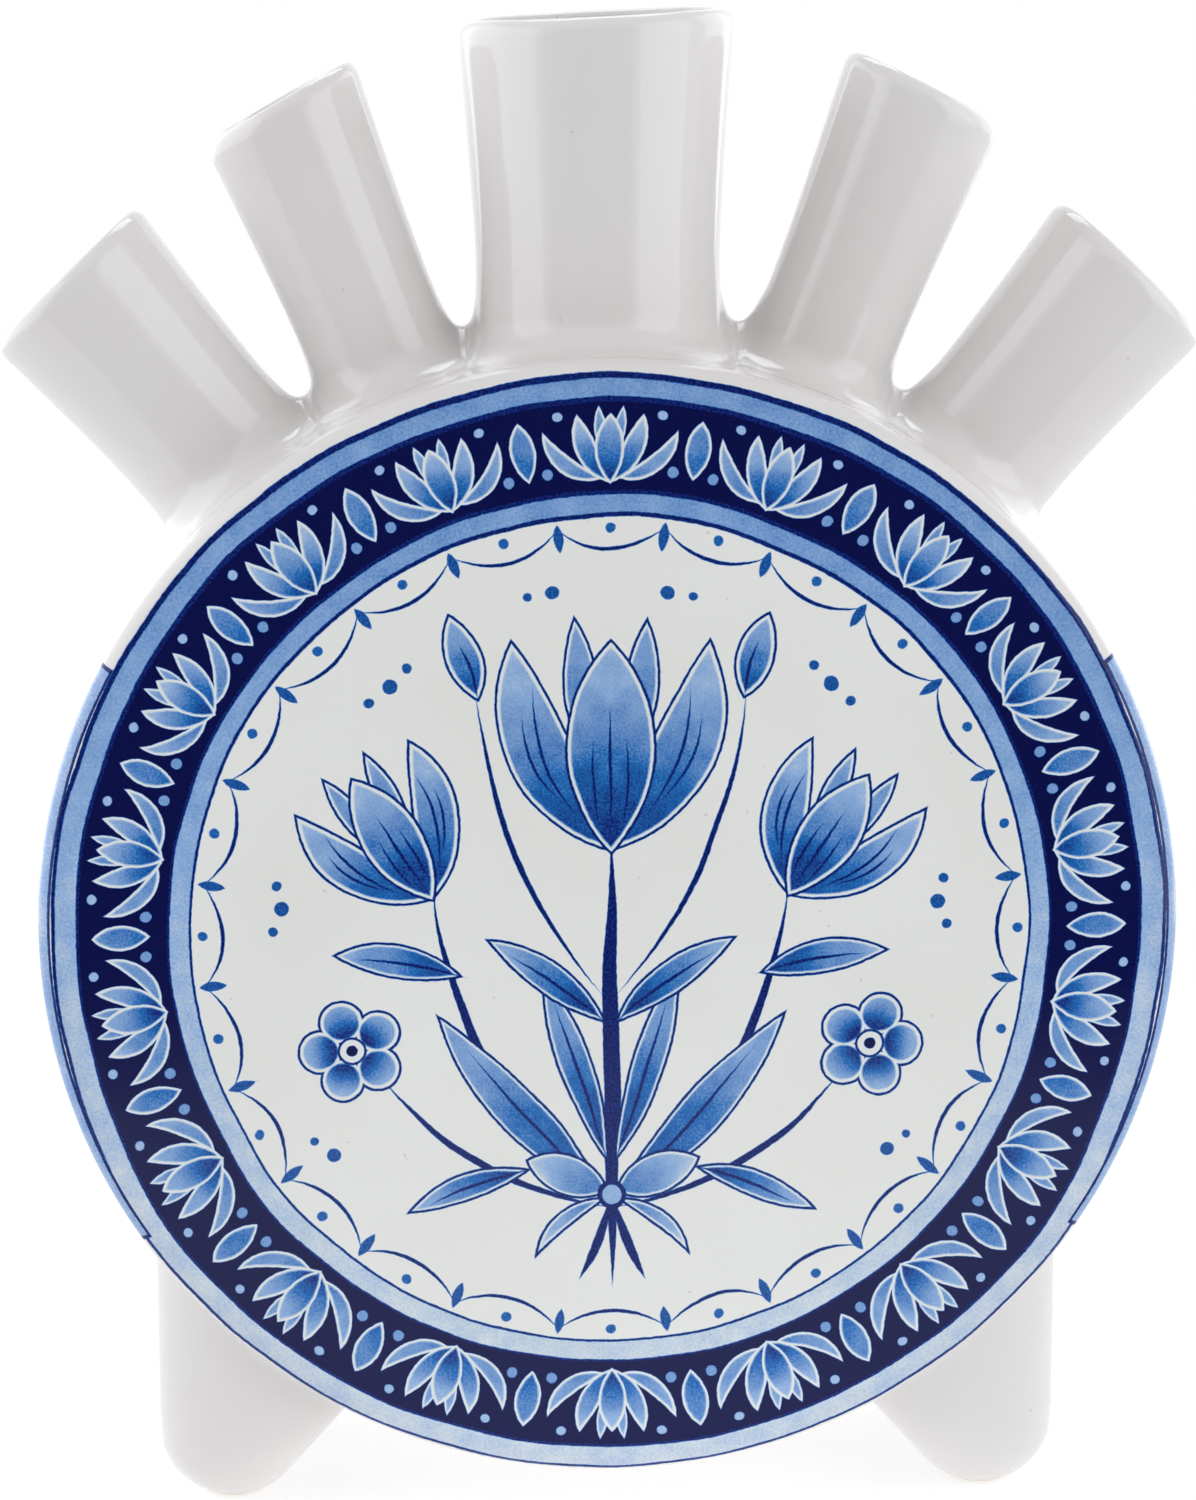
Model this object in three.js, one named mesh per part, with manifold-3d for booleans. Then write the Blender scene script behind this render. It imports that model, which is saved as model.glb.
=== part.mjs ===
// A glazed earthenware tulip vase: a flat round drum that stands on four feet and holds water, with five open spouts
// that fan out of its top, each for one stem.
//
// It is put together the way a potter puts it together. Two round plates close a side wall, the spouts stand over
// stem holes cut through that wall, and each spout and foot is luted on with a soft coil of clay that is worked into
// a fillet. Millimetres. The front face looks along -Y, +Z is up, and z = 0 is the table under the feet.

import * as THREE from 'three';
import { mergeVertices } from 'three/addons/utils/BufferGeometryUtils.js';
import Module from 'manifold-3d';

// Drum
const drumRadius = 90;
const drumDepth = 60;
const wallThickness = 4.5;
const plateThickness = 4.5;
const plateRounding = 3;
const groundClearance = 7.2;

// Joints: the thickness of the slip between two pieces, and the blunt edge that a worked coil keeps
const slipJoint = 0.3;
const coilEdge = 0.4;

// Spouts: outside radius at the waist and at the mouth, the wall, and how far the mouth stands out from the drum
const centreWaist = 19.7;
const centreMouth = 22.4;
const centreWall = 4;
const centreLength = 51.8;
const innerWaist = 11.8;
const innerMouth = 13.7;
const innerWall = 3.4;
const innerLeftLength = 48.3;
const innerRightLength = 50.3;
const outerWaist = 14.1;
const outerMouth = 16;
const outerWall = 3.6;
const outerLength = 42.5;
const lipThickness = 3.2;
const flareStart = 0.3;
const flareBend = 1.35;

// Fan: bare wall left between two spouts. Each mouth is cut down towards its outer side, and the centre spout was set
// a little off upright and cut down to the left (degrees)
const innerWeb = 2.4;
const outerWeb = 3;
const centreLean = -0.3;
const centreCut = -2.4;
const innerLeftCut = 8;
const innerRightCut = 5;
const outerCut = 3.5;

// Coils round the spouts and the feet: how far the fillet reaches, and how high it stands where a neighbour is close
const spoutCoilReach = 6.5;
const webCoilHeight = 4.5;
const footCoilReach = 2.5;

// Feet: a blunt round tip that widens towards the drum on its inner side. They stand at a bearing from straight down
// (degrees), each with bare wall between it and the face's rounded edge, and between it and its partner behind it
const footBearing = 43.1;
const footInset = 2.5;
const footPairGap = 7;
const footTipRadius = 12;
const footPadRadius = 3.6;
const footInnerSlope = 42;

// Facets, and where the rings of a spout, its bore and a foot's leg lie between their two ends
const drumFacets = 96;
const spoutFacets = 28;
const footFacets = 24;
const roundingSteps = 5;
const lipSteps = 4;
const filletSteps = 3;
const footTipSteps = 5;
const spoutRings = [0, 0.3, 0.45, 0.6, 0.75, 0.88, 1];
const boreRings = [1, 0.75, 0.5, 0];
const legRings = [1 / 3, 2 / 3, 1];
const footTopRings = [2 / 3, 1 / 3];

const glaze = new THREE.MeshStandardMaterial({ color: 0xecebe6, roughness: 0.12, metalness: 0 });
const paintedGlaze = new THREE.MeshStandardMaterial({ color: 0xb9c8dc, roughness: 0.12, metalness: 0 });

const { degToRad, lerp } = THREE.MathUtils;
const drumCentre = new THREE.Vector3(0, 0, groundClearance + drumRadius);
const plateInside = drumDepth / 2 - plateThickness;
const seatRadius = drumRadius + slipJoint;

const footSpread = drumRadius * Math.sin(degToRad(footBearing));
const footHalfDepth = (drumDepth / 2 - plateRounding - footInset - footPairGap / 2) / 2;
const footStagger = footPairGap / 2 + footHalfDepth;
const footPadAngle = Math.asin(footPadRadius / footTipRadius);
const footPadDrop = footTipRadius * (1 - Math.cos(footPadAngle));
const footTipTurn = degToRad(75);

const vase = new THREE.Group();

function addPiece(name, geometry, material) {
  const piece = new THREE.Mesh(geometry, material);
  piece.name = name;
  vase.add(piece);
}

// Solids

/** Merges equal corners, drops triangles that have shrunk to a line and turns every face outwards. */
function closedSolid(geometry) {
  const bare = geometry.clone();
  bare.deleteAttribute('normal');
  bare.deleteAttribute('uv');
  const merged = mergeVertices(bare, 1e-4);
  const position = merged.getAttribute('position');
  const triangles = [];
  let volume = 0;
  for (let i = 0; i < merged.index.count; i += 3) {
    const corners = [0, 1, 2].map((k) => merged.index.getX(i + k));
    if (new Set(corners).size === 3) {
      const [a, b, c] = corners.map((k) => new THREE.Vector3().fromBufferAttribute(position, k));
      volume += a.dot(b.cross(c));
      triangles.push(corners);
    }
  }
  merged.setIndex(triangles.flatMap(([a, b, c]) => (volume < 0 ? [a, c, b] : [a, b, c])));
  merged.computeVertexNormals();
  return merged;
}

/** A skin over rings of points. A loop joins the last ring to the first, otherwise both ends are capped. */
function skin(rings, isLoop) {
  const count = rings[0].length;
  const points = rings.flat();
  const index = [];
  const bands = isLoop ? rings.length : rings.length - 1;
  for (let band = 0; band < bands; band += 1) {
    const near = band * count;
    const far = ((band + 1) % rings.length) * count;
    for (let i = 0; i < count; i += 1) {
      const next = (i + 1) % count;
      index.push(near + i, near + next, far + i, near + next, far + next, far + i);
    }
  }
  if (!isLoop) {
    const lastRing = (rings.length - 1) * count;
    for (let i = 0; i < count; i += 1) {
      const next = (i + 1) % count;
      index.push(points.length, next, i, points.length + 1, lastRing + i, lastRing + next);
    }
    points.push(middleOf(rings[0]), middleOf(rings[rings.length - 1]));
  }
  const geometry = new THREE.BufferGeometry().setFromPoints(points);
  geometry.setIndex(index);
  return closedSolid(geometry);
}

function middleOf(ring) {
  const middle = new THREE.Vector3();
  ring.forEach((point) => middle.addScaledVector(point, 1 / ring.length));
  return middle;
}

/** One point for each facet corner round a ring. */
function ringOf(facets, pointAt) {
  return Array.from({ length: facets }, (_, i) => pointAt((2 * Math.PI * i) / facets));
}

/** A profile of [radius, y] pairs turned about the drum's axis, which runs through its centre along Y. */
function turned(profile) {
  const outline = profile.map(([radius, y]) => new THREE.Vector2(radius, y));
  const geometry = new THREE.LatheGeometry(outline, drumFacets);
  geometry.translate(drumCentre.x, drumCentre.y, drumCentre.z);
  return closedSolid(geometry);
}

/** The concave side of a coil, from its tall edge to its wide edge, as [outward, height] pairs. */
function filletCurve(tall, wide, edge) {
  const curve = new THREE.QuadraticBezierCurve(
    new THREE.Vector2(edge, tall),
    new THREE.Vector2(edge, edge),
    new THREE.Vector2(wide, edge),
  );
  return curve.getPoints(filletSteps).map((point) => [point.x, point.y]);
}

// Drum: two plates and the side wall between them

/** A plate that closes one end of the drum, side -1 at the front and 1 at the back, with a rounded outer edge. */
function plate(side) {
  const face = drumDepth / 2;
  const profile = [[0, side * face]];
  for (let i = 0; i <= roundingSteps; i += 1) {
    const turn = (Math.PI / 2) * (i / roundingSteps);
    const radius = drumRadius - plateRounding * (1 - Math.sin(turn));
    const y = face - plateRounding * (1 - Math.cos(turn));
    profile.push([radius, side * y]);
  }
  profile.push([drumRadius, side * plateInside], [0, side * plateInside]);
  return turned(profile);
}

/** The ring between the plates, with a stem hole under each spout. */
function sideWall(wasm, spouts) {
  const end = plateInside - slipJoint;
  const inside = drumRadius - wallThickness;
  const ring = turned([[inside, -end], [drumRadius, -end], [drumRadius, end], [inside, end], [inside, -end]]);
  let wall = toManifold(wasm, ring);
  spouts.forEach((spout) => {
    const drill = new THREE.CylinderGeometry(spout.bore, spout.bore, 2 * drumRadius, spoutFacets);
    drill.translate(0, drumRadius, 0);
    const upright = new THREE.Vector3(0, 1, 0);
    drill.applyQuaternion(new THREE.Quaternion().setFromUnitVectors(upright, spout.along));
    drill.translate(drumCentre.x, drumCentre.y, drumCentre.z);
    wall = wall.subtract(toManifold(wasm, closedSolid(drill)));
  });
  return fromManifold(wall);
}

function toManifold(wasm, geometry) {
  return new wasm.Manifold(new wasm.Mesh({
    numProp: 3,
    vertProperties: new Float32Array(geometry.getAttribute('position').array),
    triVerts: new Uint32Array(geometry.index.array),
  }));
}

function fromManifold(manifold) {
  const mesh = manifold.getMesh();
  const geometry = new THREE.BufferGeometry();
  geometry.setAttribute('position', new THREE.BufferAttribute(mesh.vertProperties, 3));
  geometry.setIndex(new THREE.BufferAttribute(mesh.triVerts, 1));
  return closedSolid(geometry);
}

// Spouts

/** Half the angle that a round thing of this radius takes up on the outside of the drum. */
const halfAngle = (radius) => Math.asin(radius / drumRadius);

const innerLean = halfAngle(centreWaist) + innerWeb / drumRadius + halfAngle(innerWaist);
const outerLean = innerLean + halfAngle(innerWaist) + outerWeb / drumRadius + halfAngle(outerWaist);
const leftWeb = innerWeb + drumRadius * degToRad(centreLean);
const rightWeb = innerWeb - drumRadius * degToRad(centreLean);

/**
 * A spout on a line out of the drum's centre, leaning away from upright by lean. Its mouth is cut down by cut
 * degrees towards +X, and its coil has webs wide of bare wall on its -X and +X sides.
 */
function spoutPlan(name, lean, waist, mouth, wall, length, cut, webs) {
  return {
    name,
    waist,
    mouth,
    webs,
    reach: drumRadius + length,
    bore: waist - wall,
    cutSlope: Math.tan(degToRad(cut)),
    along: new THREE.Vector3(Math.sin(lean), 0, Math.cos(lean)),
    across: new THREE.Vector3(Math.cos(lean), 0, -Math.sin(lean)),
  };
}

const openWall = Infinity;
const spouts = [
  spoutPlan('outer_left', -outerLean, outerWaist, outerMouth, outerWall, outerLength, -outerCut,
    [openWall, outerWeb]),
  spoutPlan('inner_left', -innerLean, innerWaist, innerMouth, innerWall, innerLeftLength, -innerLeftCut,
    [outerWeb, leftWeb]),
  spoutPlan('centre', degToRad(centreLean), centreWaist, centreMouth, centreWall, centreLength, centreCut,
    [leftWeb, rightWeb]),
  spoutPlan('inner_right', innerLean, innerWaist, innerMouth, innerWall, innerRightLength, innerRightCut,
    [rightWeb, outerWeb]),
  spoutPlan('outer_right', outerLean, outerWaist, outerMouth, outerWall, outerLength, outerCut,
    [outerWeb, openWall]),
];

/** The point beside a spout's axis at this radius and angle, a height along the axis from the drum's centre. */
function besideAxis(spout, radius, angle, height) {
  return drumCentre.clone()
    .addScaledVector(spout.along, height)
    .addScaledVector(spout.across, radius * Math.cos(angle))
    .add(new THREE.Vector3(0, radius * Math.sin(angle), 0));
}

/** The height at which a line beside a spout's axis meets the slip on the outside of the wall. */
const seatHeight = (radius, angle) => Math.sqrt(seatRadius ** 2 - (radius * Math.cos(angle)) ** 2);

/** How much of a spout's flare is reached at this share of the way from the wall to the mouth. */
const flareAt = (share) => Math.max(0, (share - flareStart) / (1 - flareStart)) ** flareBend;

/** A tube that stands on the wall, flares to its mouth and turns over a round lip down its bore. */
function spoutTube(spout) {
  const lip = lipThickness / 2;
  const outside = spoutRings.map((share) => ({
    radius: lerp(spout.waist, spout.mouth, flareAt(share)),
    share,
    rise: 0,
  }));
  const overLip = Array.from({ length: lipSteps - 1 }, (_, i) => {
    const turn = (Math.PI * (i + 1)) / lipSteps;
    return { radius: spout.mouth - lip + lip * Math.cos(turn), share: 1, rise: lip * Math.sin(turn) };
  });
  const inside = boreRings.map((share) => ({
    radius: lerp(spout.bore, spout.mouth - lipThickness, flareAt(share)),
    share,
    rise: 0,
  }));
  const rings = [...outside, ...overLip, ...inside].map(({ radius, share, rise }) => (
    ringOf(spoutFacets, (angle) => {
      const mouthHeight = spout.reach - lip - spout.cutSlope * radius * Math.cos(angle);
      return besideAxis(spout, radius, angle, lerp(seatHeight(radius, angle), mouthHeight, share) + rise);
    })
  ));
  return skin(rings, true);
}

/**
 * A spout coil's width and height at this angle: a full fillet, as far as the flat of the wall carries it, or what
 * the bare wall beside a neighbour allows.
 */
function spoutCoilSize(spout, angle) {
  const flatOfWall = drumDepth / 2 - plateRounding;
  const reach = Math.min(spoutCoilReach, flatOfWall - spout.waist - slipJoint);
  const web = Math.cos(angle) < 0 ? spout.webs[0] : spout.webs[1];
  const room = Math.max(slipJoint, (web - 3 * slipJoint) / 2);
  const isOpen = room > reach;
  const towardsWeb = Math.abs(Math.cos(angle));
  return {
    width: lerp(reach, isOpen ? reach : room, towardsWeb),
    height: lerp(reach, isOpen ? reach : webCoilHeight, towardsWeb),
  };
}

/** The coil of clay worked into the corner between a spout and the wall. */
function spoutCoil(spout) {
  const inside = spout.waist + slipJoint;
  const loops = ringOf(spoutFacets, (angle) => {
    const { width, height } = spoutCoilSize(spout, angle);
    const edge = Math.min(coilEdge, width / 2);
    const section = [[0, 0], [0, height], ...filletCurve(height, width, edge), [width, 0]];
    return section.map(([outward, rise]) => {
      const radius = inside + outward;
      return besideAxis(spout, radius, angle, seatHeight(radius, angle) + rise);
    });
  });
  return skin(loops, true);
}

// Feet

/** Half-way line, half-width and half-depth of a foot at a height over the table. */
function footSection(height) {
  const overTip = height - (footTipRadius - footPadDrop);
  const tipRadius = Math.sqrt(footTipRadius ** 2 - Math.min(0, overTip) ** 2);
  const slope = degToRad(footInnerSlope);
  const overTangent = overTip + footTipRadius * Math.sin(slope);
  const innerReach = footTipRadius * Math.cos(slope) + overTangent * Math.tan(slope);
  const inner = overTangent > 0 ? innerReach : tipRadius;
  return {
    middle: footSpread + (tipRadius - inner) / 2,
    halfWidth: (tipRadius + inner) / 2,
    halfDepth: (tipRadius * footHalfDepth) / footTipRadius,
  };
}

/** A point round a foot at a height, a clearance outside its surface. */
function besideFoot(foot, angle, height, clearance) {
  const { middle, halfWidth, halfDepth } = footSection(height);
  return new THREE.Vector3(
    foot.side * (middle + (halfWidth + clearance) * Math.cos(angle)),
    foot.end * footStagger + (halfDepth + clearance) * Math.sin(angle),
    height,
  );
}

/** The height at which the line up a foot's side meets the slip under the wall. */
function underWall(foot, angle, clearance) {
  const halvings = 40;
  let low = 0;
  let high = drumCentre.z;
  for (let step = 0; step < halvings; step += 1) {
    const height = (low + high) / 2;
    const point = besideFoot(foot, angle, height, clearance).sub(drumCentre);
    if (Math.hypot(point.x, point.z) > seatRadius) {
      low = height;
    } else {
      high = height;
    }
  }
  return low;
}

/** The point straight above or below this one on the slip under the wall. */
function ontoWall(point) {
  const height = drumCentre.z - Math.sqrt(seatRadius ** 2 - point.x ** 2);
  return new THREE.Vector3(point.x, point.y, height);
}

/** A foot from its flat ground pad up to the wall, closed by a top that follows the wall. */
function footBody(foot) {
  const heightAtTurn = (turn) => footTipRadius * (1 - Math.cos(turn)) - footPadDrop;
  const tip = Array.from({ length: footTipSteps + 1 }, (_, i) => {
    const height = heightAtTurn(lerp(footPadAngle, footTipTurn, i / footTipSteps));
    return ringOf(footFacets, (angle) => besideFoot(foot, angle, height, 0));
  });
  const leg = legRings.map((share) => ringOf(footFacets, (angle) => {
    const height = lerp(heightAtTurn(footTipTurn), underWall(foot, angle, 0), share);
    return besideFoot(foot, angle, height, 0);
  }));
  const rim = leg[leg.length - 1];
  const middle = middleOf(rim);
  const top = footTopRings.map((share) => rim.map((point) => ontoWall(middle.clone().lerp(point, share))));
  return skin([...tip, ...leg, ...top], false);
}

/** The coil of clay worked into the corner between a foot and the wall, no wider than the bare wall beside it. */
function footCoil(foot) {
  const besidePartner = (footPairGap - slipJoint) / 2;
  const loops = ringOf(footFacets, (angle) => {
    const outwards = Math.sin(angle) * foot.end > 0;
    const bareWall = outwards ? footInset : besidePartner;
    const room = Math.min(footCoilReach, bareWall - 2 * slipJoint);
    const width = lerp(footCoilReach, room, Math.sin(angle) ** 2);
    const edge = Math.min(coilEdge, width / 2);
    const section = [[0, 0], [0, width], ...filletCurve(width, width, edge), [width, 0]];
    return section.map(([outward, drop]) => {
      const clearance = slipJoint + outward;
      return besideFoot(foot, angle, underWall(foot, angle, clearance) - drop, clearance);
    });
  });
  return skin(loops, true);
}

const feet = [
  { name: 'front_left', side: -1, end: -1 },
  { name: 'front_right', side: 1, end: -1 },
  { name: 'back_left', side: -1, end: 1 },
  { name: 'back_right', side: 1, end: 1 },
];

// Vase

const wasm = await Module();
wasm.setup();

addPiece('front_plate', plate(-1), paintedGlaze);
addPiece('back_plate', plate(1), paintedGlaze);
addPiece('side_wall', sideWall(wasm, spouts), glaze);
spouts.forEach((spout) => {
  addPiece(`spout_${spout.name}`, spoutTube(spout), glaze);
  addPiece(`spout_coil_${spout.name}`, spoutCoil(spout), glaze);
});
feet.forEach((foot) => {
  addPiece(`foot_${foot.name}`, footBody(foot), glaze);
  addPiece(`foot_coil_${foot.name}`, footCoil(foot), glaze);
});

export default vase;
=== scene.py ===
# %% [markdown]
# # A tulip vase painted in cobalt blue
#
# The real object is a flat round drum of glazed earthenware. It stands on four feet and holds water, and
# five open spouts fan out of its top, each for one stem. Both round faces are painted in blue under a
# clear gloss glaze.
#
# The measured solids come first, as a fixed frame in metres: the front face looks along -Y, +Z is up and
# the table is z = 0. They are coarse and every piece is apart. This lesson gives each piece a fine,
# smooth skin in the same place and at the same size, then paints and lights it.

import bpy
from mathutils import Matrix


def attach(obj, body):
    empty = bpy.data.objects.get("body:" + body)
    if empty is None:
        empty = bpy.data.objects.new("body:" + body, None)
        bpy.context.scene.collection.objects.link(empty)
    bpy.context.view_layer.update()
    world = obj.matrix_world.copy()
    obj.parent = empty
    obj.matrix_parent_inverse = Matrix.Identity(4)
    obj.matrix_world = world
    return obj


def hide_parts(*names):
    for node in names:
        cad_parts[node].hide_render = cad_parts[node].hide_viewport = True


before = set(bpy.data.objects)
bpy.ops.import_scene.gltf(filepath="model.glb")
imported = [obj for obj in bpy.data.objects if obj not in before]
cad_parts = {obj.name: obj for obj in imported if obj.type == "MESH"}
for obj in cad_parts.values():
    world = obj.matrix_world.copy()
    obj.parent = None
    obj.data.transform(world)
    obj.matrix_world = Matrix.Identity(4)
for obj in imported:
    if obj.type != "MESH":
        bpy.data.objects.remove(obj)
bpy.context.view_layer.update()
print("solids loaded:", len(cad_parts))

# %% Tools for the whole lesson
import math

import bpy
import numpy as np
from mathutils import Matrix, Vector

MM = 0.001
scene = bpy.context.scene
scene.view_settings.view_transform = "Standard"
print("view transform:", scene.view_settings.view_transform)

# %% [markdown]
# ## The sizes
#
# A potter works from a drawing, and so does this script. These are the driving sizes of the solids. The
# shapes below follow from them, so the skins land on the solids.

# %% Driving sizes in millimetres
drum_radius = 90.0
drum_depth = 60.0
wall_thickness = 4.5
plate_rounding = 3.0
ground_clearance = 7.2
drum_centre = np.array([0.0, 0.0, ground_clearance + drum_radius])
face_y = drum_depth / 2
seam_y = 25.35

centre_waist = 19.7
inner_waist = 11.8
outer_waist = 14.1
lip_thickness = 3.2
flare_start = 0.3
flare_bend = 1.35
inner_web = 2.4
outer_web = 3.0

fillet_radius = 6.5
skirt_rim = 0.4
web_radii = (6.9, 6.3, 8.4, 7.5)
web_depth = 13.0
thinnest_web = 0.02
sunk = 0.15
tuck = 0.012

foot_bearing = math.radians(43.1)
foot_inset = 2.5
foot_pair_gap = 7.0
foot_tip = 12.0
foot_pad = 3.6
foot_slope = math.radians(42.0)
foot_fillet = 2.4
print("drum centre:", drum_centre, "mm")

# %% [markdown]
# ## The camera
#
# The picture was taken with a long lens from a little above the middle of the vase, level with the
# spouts' mouths, so hardly any opening shows. Lens, distance and angle were found by matching the ellipse
# of the painted edge, the five mouths and the feet.

# %% Place the camera
camera_target = Vector((-0.7, 0.0, 120.45)) * MM
camera_distance = 700 * MM
camera_elevation = math.radians(11.02)
camera_azimuth = math.radians(-2.5)
camera_roll = math.radians(0.15)

towards_camera = Vector((
    math.sin(camera_azimuth) * math.cos(camera_elevation),
    -math.cos(camera_azimuth) * math.cos(camera_elevation),
    math.sin(camera_elevation),
))
camera_data = bpy.data.cameras.new("camera")
camera_data.lens = 102.9
camera_data.sensor_width = 36.0
camera_data.clip_start = 0.01
camera = bpy.data.objects.new("camera", camera_data)
scene.collection.objects.link(camera)
camera.rotation_mode = "QUATERNION"
camera.location = camera_target + towards_camera * camera_distance
turn_to_target = (-towards_camera).to_track_quat("-Z", "Y")
camera.rotation_quaternion = turn_to_target @ Matrix.Rotation(-camera_roll, 3, "Z").to_quaternion()
scene.camera = camera
print("camera at", [round(v, 3) for v in camera.location], "m")

# %% [markdown]
# ## Skins made of rings
#
# Almost everything a potter throws or coils is a stack of rings. One helper sews rings of points into a
# mesh: a closed loop, like a tube's wall that turns over its lip and runs back down the bore, or a form
# with a cap at both ends. Only edges that turn sharply stay crisp.

# %% Sew rings into a mesh
SHARP = math.radians(38)


def mesh_object(name, points, faces):
    """A smooth-shaded object from points in millimetres."""
    mesh = bpy.data.meshes.new(name)
    mesh.from_pydata([tuple(p) for p in np.asarray(points) * MM], [], faces)
    mesh.validate()
    made = bpy.data.objects.new(name, mesh)
    scene.collection.objects.link(made)
    face_outwards(mesh)
    mesh.shade_smooth()
    mesh.set_sharp_from_angle(angle=SHARP)
    return made


def face_outwards(mesh):
    """Turns all faces over if the closed mesh has a negative volume."""
    corners = np.array([v.co for v in mesh.vertices])
    mesh.calc_loop_triangles()
    triangles = np.array([t.vertices for t in mesh.loop_triangles])
    a, b, c = (corners[triangles[:, i]] for i in range(3))
    if np.einsum("ij,ij->i", a, np.cross(b, c)).sum() < 0:
        mesh.flip_normals()


def sew(rings, is_loop):
    """Points and faces of a skin over rings, which all have the same number of points."""
    rows = len(rings)
    count = len(rings[0])
    points = np.concatenate(rings)
    faces = []
    for row in range(rows if is_loop else rows - 1):
        near = row * count
        far = (row + 1) % rows * count
        for i in range(count):
            j = (i + 1) % count
            faces.append((near + i, near + j, far + j, far + i))
    if not is_loop:
        first, last = len(points), len(points) + 1
        points = np.vstack([points, rings[0].mean(axis=0), rings[-1].mean(axis=0)])
        end = (rows - 1) * count
        for i in range(count):
            j = (i + 1) % count
            faces.append((first, j, i))
            faces.append((last, end + i, end + j))
    return points, faces


def angles(count):
    return np.linspace(0, 2 * math.pi, count, endpoint=False)


print("edges stay sharp above", round(math.degrees(SHARP)), "degrees")

# %% [markdown]
# ## The five spouts
#
# Each spout is a tube on a line out of the drum's centre. It keeps its waist for the first third and then
# flares gently to a mouth that was trimmed a little askew, as a hand-cut tube is.

# %% Describe the spouts
DEEP = np.array([0.0, 1.0, 0.0])


def half_angle(radius):
    """Half the angle that a round thing takes up on the outside of the drum."""
    return math.asin(radius / drum_radius)


def mix(a, b, share):
    return a + (b - a) * share


class Spout:
    """One spout: lean in radians, sizes in millimetres, cut in degrees down towards +X."""

    def __init__(self, name, lean, waist, mouth, wall, length, cut):
        self.name = name
        self.waist = waist
        self.mouth = mouth
        self.bore = waist - wall
        self.reach = drum_radius + length
        self.cut_slope = math.tan(math.radians(cut))
        self.along = np.array([math.sin(lean), 0.0, math.cos(lean)])
        self.across = np.array([math.cos(lean), 0.0, -math.sin(lean)])

    def flare(self, share):
        return np.maximum(0, (share - flare_start) / (1 - flare_start)) ** flare_bend

    def outside(self, share):
        return mix(self.waist, self.mouth, self.flare(share))

    def inside(self, share):
        return mix(self.bore, self.mouth - lip_thickness, self.flare(share))

    def top(self, radius, angle):
        """Height of the cut mouth over the drum's centre."""
        return self.reach - self.cut_slope * radius * np.cos(angle)

    def point(self, radius, angle, height):
        """Points beside the axis, a height along it from the drum's centre."""
        radius, angle, height = np.broadcast_arrays(radius, angle, height)
        return (
            drum_centre
            + height[..., None] * self.along
            + (radius * np.cos(angle))[..., None] * self.across
            + (radius * np.sin(angle))[..., None] * DEEP
        )

    def distance(self, points):
        """How far points are outside the tube's wall."""
        offset = points - drum_centre
        height = offset @ self.along
        radius = np.linalg.norm(offset - height[..., None] * self.along, axis=-1)
        share = np.clip((height - drum_radius) / (self.reach - drum_radius), 0, 1)
        return radius - self.outside(share)


inner_lean = half_angle(centre_waist) + inner_web / drum_radius + half_angle(inner_waist)
outer_lean = inner_lean + half_angle(inner_waist) + outer_web / drum_radius + half_angle(outer_waist)
spouts = [
    Spout("outer_left", -outer_lean, outer_waist, 16.0, 3.6, 42.5, -3.5),
    Spout("inner_left", -inner_lean, inner_waist, 13.7, 3.4, 48.3, -8.0),
    Spout("centre", math.radians(-0.3), centre_waist, 22.4, 4.0, 51.8, -2.4),
    Spout("inner_right", inner_lean, inner_waist, 13.7, 3.4, 50.3, 5.0),
    Spout("outer_right", outer_lean, outer_waist, 16.0, 3.6, 42.5, 3.5),
]
print("leans:", round(math.degrees(inner_lean), 2), round(math.degrees(outer_lean), 2), "degrees")

# %% [markdown]
# ## One smooth web of clay
#
# A spout is stuck on with slip, and a soft coil of clay is worked into the corner until wall and spout
# flow into each other. Between two spouts the clay stands up in a web, and each of the four webs was
# thumbed to its own radius. A bevel can't do this, because the width changes all the way round, so the
# shape is written as a distance: the drum and the spouts are joined by a rounded union, and the rings
# near the joint are pushed onto the surface where that distance is zero. Neighbouring skins then share
# one smooth surface.

# %% The rounded union of drum and spouts
PULLS = 14
HALVINGS = 40


def round_union(a, b, radius):
    """The smaller of two distances, with a fillet of this radius where they meet."""
    fillet = np.hypot(np.maximum(radius - a, 0), np.maximum(radius - b, 0))
    return np.maximum(radius, np.minimum(a, b)) - fillet


def drum_distance(points):
    offset = points - drum_centre
    return np.hypot(offset[..., 0], offset[..., 2]) - drum_radius


def joined_distance(points):
    """The webs are highest in the middle of the drum's depth and thin out towards both faces."""
    share = np.maximum(thinnest_web, 1 - (points[..., 1] / web_depth) ** 2)
    joined = spouts[0].distance(points)
    for spout, web_radius in zip(spouts[1:], web_radii):
        joined = round_union(joined, spout.distance(points), web_radius * share)
    return round_union(joined, drum_distance(points), fillet_radius)


def slope_of(distance, points):
    """How the distance changes along X, Y and Z."""
    step = 0.01
    steps = np.eye(3) * step
    return np.stack([(distance(points + s) - distance(points - s)) / (2 * step) for s in steps], axis=-1)


def onto_joint(points):
    """Moves points to where the joined distance is zero."""
    for _ in range(PULLS):
        slope = slope_of(joined_distance, points)
        pull = joined_distance(points) / np.maximum((slope * slope).sum(axis=-1), 1e-6)
        points = points - pull[..., None] * slope
    return points


def halve(low, high, holds):
    """How far from low towards high the test still holds."""
    for _ in range(HALVINGS):
        middle = (low + high) / 2
        is_held = holds(middle)
        low = np.where(is_held, middle, low)
        high = np.where(is_held, high, middle)
    return low


def seat_height(radius, angle, over=drum_radius):
    """Height along a spout's axis where a line beside the axis meets the drum."""
    return np.sqrt(over**2 - (radius * np.cos(angle)) ** 2)


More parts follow.
